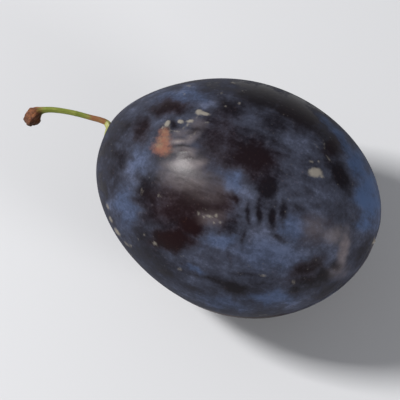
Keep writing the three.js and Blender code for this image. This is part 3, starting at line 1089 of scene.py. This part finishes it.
def stem_material():
    """Yellow-green shank with fine lengthwise streaks, brown where it leaves the fruit, and a
    cracked brown woody end with a dark hollow."""
    material, tree, shader = new_material("stem_bark")
    grain_place = add(tree, "ShaderNodeAttribute", attribute_name="grain").outputs["Vector"]
    metres = add(tree, "ShaderNodeVectorMath", {0: grain_place, "Scale": MM}, operation="SCALE")
    mottle = use(tree, MOTTLE, metres.outputs[0], **STEM_MOTTLE)
    clouds, grain, streaks = mottle["Clouds"], mottle["Grain"], mottle["Streaks"]
    share = share_of(tree, "share")

    green = mix(tree, ramp(tree, streaks, *PALE_IN_STREAKS), STEM_GREEN, STEM_PALE)
    ragged = calc(tree, "ADD", share, swing(tree, streaks, BROWN_RAGGED))
    brown = calc(tree, "MULTIPLY", ramp(tree, ragged, *BROWN_START), ramp(tree, ragged, *BROWN_END))
    brown = calc(tree, "MULTIPLY", brown, ramp(tree, clouds, *BROWN_IN_CLOUDS))
    colour = mix(tree, brown, green, STEM_BROWN)
    colour = mix(tree, ramp(tree, share, *FOOT_END), colour, STEM_FOOT)

    wood = mix(tree, ramp(tree, clouds, *TAN_IN_CLOUDS), WOOD_BROWN, WOOD_TAN)
    wood = mix(tree, ramp(tree, grain, *CRACKS_IN_GRAIN), wood, WOOD_DARK)
    wood = mix(tree, ramp(tree, share, *BREAK_SHADE), wood, WOOD_DARK)
    ragged = calc(tree, "ADD", share, swing(tree, streaks, WOOD_RAGGED))
    colour = mix(tree, ramp(tree, ragged, *WOOD_START), colour, wood)
    hollow = calc(tree, "MULTIPLY", share_of(tree, "inside"), HOLLOW_SHADE)
    colour = mix(tree, hollow, colour, WOOD_DARK)
    tree.links.new(colour, shader.inputs["Base Color"])

    tree.links.new(ramp(tree, share, *STEM_ROUGHNESS), shader.inputs["Roughness"])
    height = calc(tree, "ADD", streaks, calc(tree, "MULTIPLY", grain, STEM_BUMP["grain"]))
    bark = add(
        tree,
        "ShaderNodeBump",
        {"Height": height, "Strength": STEM_BUMP["strength"], "Distance": STEM_BUMP["distance"]},
    )
    tree.links.new(bark.outputs["Normal"], shader.inputs["Normal"])
    return material


def floor_material():
    """Plain matt off-white."""
    material, _, shader = new_material("pale_floor")
    shader.inputs["Base Color"].default_value = (0.62, 0.62, 0.63, 1.0)
    shader.inputs["Roughness"].default_value = 0.9
    return material


# ---- the set, in metres ----

FLOOR_HALF = 3.0
FLOOR_DROP = 2e-5  # keeps the floor just under the resting spot
# Place, size and power in watts
LIGHTS = {
    "window": ((-0.55, -0.1, 0.57), 0.15, 7.6),
    "fill": ((0.85, -0.22, 0.22), 0.28, 5.0),
}
LIT_POINT = np.array([0.0, 0.0, 0.02])
SURROUND = {"colour": (0.9, 0.93, 1.0, 1.0), "strength": 0.22}
SENSOR_WIDTH = 36.0  # millimetres
CLIP_START = 0.01


def make_floor():
    """A large flat square just under the resting spot."""
    mesh = bpy.data.meshes.new("floor")
    signs = ((-1, -1), (1, -1), (1, 1), (-1, 1))
    corners = [(x * FLOOR_HALF, y * FLOOR_HALF, -FLOOR_DROP) for x, y in signs]
    mesh.from_pydata(corners, [], [(0, 1, 2, 3)])
    floor = bpy.data.objects.new("floor", mesh)
    bpy.context.scene.collection.objects.link(floor)
    mesh.materials.append(floor_material())


def make_light(name, place, size, power):
    """A square soft light turned towards the fruit."""
    light = bpy.data.lights.new(name, "AREA")
    light.shape = "SQUARE"
    light.size = size
    light.energy = power
    holder = bpy.data.objects.new(name, light)
    bpy.context.scene.collection.objects.link(holder)
    holder.location = place
    direction = LIT_POINT - np.array(place)
    holder.rotation_euler = (
        math.acos(-direction[2] / np.linalg.norm(direction)),
        0.0,
        math.atan2(direction[1], direction[0]) - math.pi / 2,
    )


def make_camera():
    """The photograph's direction of view, framed on the fruit and its stem."""
    camera = bpy.data.cameras.new("camera")
    camera.sensor_width = SENSOR_WIDTH
    camera.lens = SENSOR_WIDTH * VIEW_DISTANCE / (WINDOW_PIXELS * MM_PER_PIXEL)
    camera.clip_start = CLIP_START
    holder = bpy.data.objects.new("camera", camera)
    bpy.context.scene.collection.objects.link(holder)
    across = (WINDOW_CENTRE[0] - AIM_PIXEL[0]) * MM_PER_PIXEL
    upwards = -(WINDOW_CENTRE[1] - AIM_PIXEL[1]) * MM_PER_PIXEL
    place = AIM + BACK * VIEW_DISTANCE + RIGHT * across + UP * upwards
    holder.location = place * MM
    holder.rotation_euler = (math.pi / 2 - VIEW_ELEVATION, 0.0, VIEW_AZIMUTH)
    bpy.context.scene.camera = holder


def make_world():
    """An even pale surround."""
    world = bpy.data.worlds.new("surround")
    world.use_nodes = True
    background = world.node_tree.nodes["Background"]
    background.inputs["Color"].default_value = SURROUND["colour"]
    background.inputs["Strength"].default_value = SURROUND["strength"]
    bpy.context.scene.world = world


make_camera()
make_world()
make_floor()
for light_name, light_values in LIGHTS.items():
    make_light(light_name, *light_values)

skin, cavity_floor = make_skin()
skin.data.materials.append(skin_material())
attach(skin, "root")
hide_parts("fruit")

stem = make_stem(cavity_floor - SEAT["depth"] * TO_BLOSSOM)
stem.data.materials.append(stem_material())
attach(stem, "root")
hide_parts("stem")

bpy.context.scene.view_settings.view_transform = "Standard"
